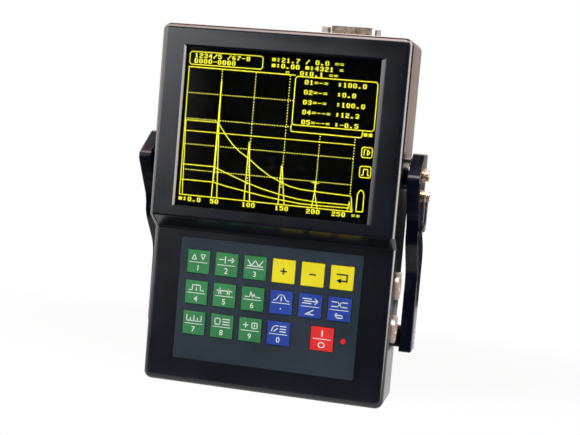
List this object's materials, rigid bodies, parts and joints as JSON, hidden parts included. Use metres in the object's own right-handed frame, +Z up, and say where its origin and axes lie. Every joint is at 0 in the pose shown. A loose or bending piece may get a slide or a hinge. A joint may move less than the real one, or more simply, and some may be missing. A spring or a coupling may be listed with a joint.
{
  "type": "portable ultrasonic flaw detector",
  "caption": "Hand-carried test instrument with a framed display, a coloured keypad, coaxial probe sockets, a data port and a folding bail handle with a strap ring.",
  "frame": {"origin": "middle of the flat bottom face that the case stands on", "axes": "+X to the right across the screen, +Y from the screen to the back, +Z up"},
  "size_m": [0.1828, 0.063, 0.2304],
  "materials": {
    "case_plastic": "moulded black, fine satin texture",
    "handle_plastic": "moulded black, satin",
    "rubber": "matt",
    "steel": "plated, satin",
    "ring_steel": "black plated wire",
    "brass": "plated brass, polished",
    "window": "clear, polished",
    "display": "dark glass display face",
    "board": "circuit board with solder mask",
    "overlay": "printed film, fine matt texture",
    "key_green": "satin",
    "key_yellow": "satin",
    "key_blue": "satin",
    "key_red": "satin",
    "led_red": "clear tinted lens",
    "ribbon": "flat cable",
    "black_insert": "matt",
    "pale_insulator": "matt",
    "battery_wrap": "shrink wrap"
  },
  "bodies": {
    "case": {"front_shell": "case_plastic", "rear_shell": "case_plastic", "case_seal": "rubber", "case_screws": "steel", "screen_window": "window", "display_panel": "display", "display_frame": "steel", "display_driver_board": "board", "board_screws": "steel", "keypad_overlay": "overlay", "keypad_board": "board", "key_domes": "steel", "led_indicator": "led_red", "main_board": "board", "pulser_board": "board", "pulser_shield": "steel", "board_spacers": "brass", "buzzer": "black_insert", "keypad_ribbon": "ribbon", "battery_pack": "battery_wrap", "battery_contacts": "brass", "battery_cover": "case_plastic", "battery_cover_screws": "steel", "port_shell": "steel", "port_insert": "black_insert", "port_jack_posts": "steel", "probe_sockets": "brass", "probe_socket_nuts": "steel", "probe_insulators": "pale_insulator", "probe_contacts": "brass", "pivot_inserts": "brass", "pivot_washers": "steel", "pivot_screws": "brass"},
    "handle": {"handle_arm_left": "handle_plastic", "handle_arm_right": "handle_plastic", "pivot_bushes": "pale_insulator", "handle_bar": "handle_plastic", "handle_grip": "rubber", "handle_bar_screws": "steel", "strap_lug": "brass"},
    "strap_ring": {"strap_ring": "ring_steel"},
    "key_1": {"key_1": "key_green"},
    "key_2": {"key_2": "key_green"},
    "key_3": {"key_3": "key_green"},
    "key_4": {"key_4": "key_green"},
    "key_5": {"key_5": "key_green"},
    "key_6": {"key_6": "key_green"},
    "key_7": {"key_7": "key_green"},
    "key_8": {"key_8": "key_green"},
    "key_9": {"key_9": "key_green"},
    "key_0": {"key_0": "key_blue"},
    "key_plus": {"key_plus": "key_yellow"},
    "key_minus": {"key_minus": "key_yellow"},
    "key_enter": {"key_enter": "key_yellow"},
    "key_envelope": {"key_envelope": "key_blue"},
    "key_velocity": {"key_velocity": "key_blue"},
    "key_channel": {"key_channel": "key_blue"},
    "key_power": {"key_power": "key_red"}
  },
  "joints": [
    {"name": "handle_swing", "type": "hinge", "parent": "case", "child": "handle", "pos_m": [0, 0.0015, 0.144], "axis": [1, 0, 0], "range_deg": [0, 180]},
    {"name": "strap_ring_swing", "type": "hinge", "parent": "handle", "child": "strap_ring", "pos_m": [0.09, 0.0015, 0.1315], "axis": [0, -1, 0], "range_deg": [0, 175]},
    {"name": "key_1_press", "type": "slide", "parent": "case", "child": "key_1", "axis": [0, 1, 0], "range_m": [0, 0.0005], "stiffness_N_per_m": 600, "springref_m": -0.0003},
    {"name": "key_2_press", "type": "slide", "parent": "case", "child": "key_2", "axis": [0, 1, 0], "range_m": [0, 0.0005], "stiffness_N_per_m": 600, "springref_m": -0.0003},
    {"name": "key_3_press", "type": "slide", "parent": "case", "child": "key_3", "axis": [0, 1, 0], "range_m": [0, 0.0005], "stiffness_N_per_m": 600, "springref_m": -0.0003},
    {"name": "key_4_press", "type": "slide", "parent": "case", "child": "key_4", "axis": [0, 1, 0], "range_m": [0, 0.0005], "stiffness_N_per_m": 600, "springref_m": -0.0003},
    {"name": "key_5_press", "type": "slide", "parent": "case", "child": "key_5", "axis": [0, 1, 0], "range_m": [0, 0.0005], "stiffness_N_per_m": 600, "springref_m": -0.0003},
    {"name": "key_6_press", "type": "slide", "parent": "case", "child": "key_6", "axis": [0, 1, 0], "range_m": [0, 0.0005], "stiffness_N_per_m": 600, "springref_m": -0.0003},
    {"name": "key_7_press", "type": "slide", "parent": "case", "child": "key_7", "axis": [0, 1, 0], "range_m": [0, 0.0005], "stiffness_N_per_m": 600, "springref_m": -0.0003},
    {"name": "key_8_press", "type": "slide", "parent": "case", "child": "key_8", "axis": [0, 1, 0], "range_m": [0, 0.0005], "stiffness_N_per_m": 600, "springref_m": -0.0003},
    {"name": "key_9_press", "type": "slide", "parent": "case", "child": "key_9", "axis": [0, 1, 0], "range_m": [0, 0.0005], "stiffness_N_per_m": 600, "springref_m": -0.0003},
    {"name": "key_0_press", "type": "slide", "parent": "case", "child": "key_0", "axis": [0, 1, 0], "range_m": [0, 0.0005], "stiffness_N_per_m": 600, "springref_m": -0.0003},
    {"name": "key_plus_press", "type": "slide", "parent": "case", "child": "key_plus", "axis": [0, 1, 0], "range_m": [0, 0.0005], "stiffness_N_per_m": 600, "springref_m": -0.0003},
    {"name": "key_minus_press", "type": "slide", "parent": "case", "child": "key_minus", "axis": [0, 1, 0], "range_m": [0, 0.0005], "stiffness_N_per_m": 600, "springref_m": -0.0003},
    {"name": "key_enter_press", "type": "slide", "parent": "case", "child": "key_enter", "axis": [0, 1, 0], "range_m": [0, 0.0005], "stiffness_N_per_m": 600, "springref_m": -0.0003},
    {"name": "key_envelope_press", "type": "slide", "parent": "case", "child": "key_envelope", "axis": [0, 1, 0], "range_m": [0, 0.0005], "stiffness_N_per_m": 600, "springref_m": -0.0003},
    {"name": "key_velocity_press", "type": "slide", "parent": "case", "child": "key_velocity", "axis": [0, 1, 0], "range_m": [0, 0.0005], "stiffness_N_per_m": 600, "springref_m": -0.0003},
    {"name": "key_channel_press", "type": "slide", "parent": "case", "child": "key_channel", "axis": [0, 1, 0], "range_m": [0, 0.0005], "stiffness_N_per_m": 600, "springref_m": -0.0003},
    {"name": "key_power_press", "type": "slide", "parent": "case", "child": "key_power", "axis": [0, 1, 0], "range_m": [0, 0.0005], "stiffness_N_per_m": 600, "springref_m": -0.0003}
  ]
}
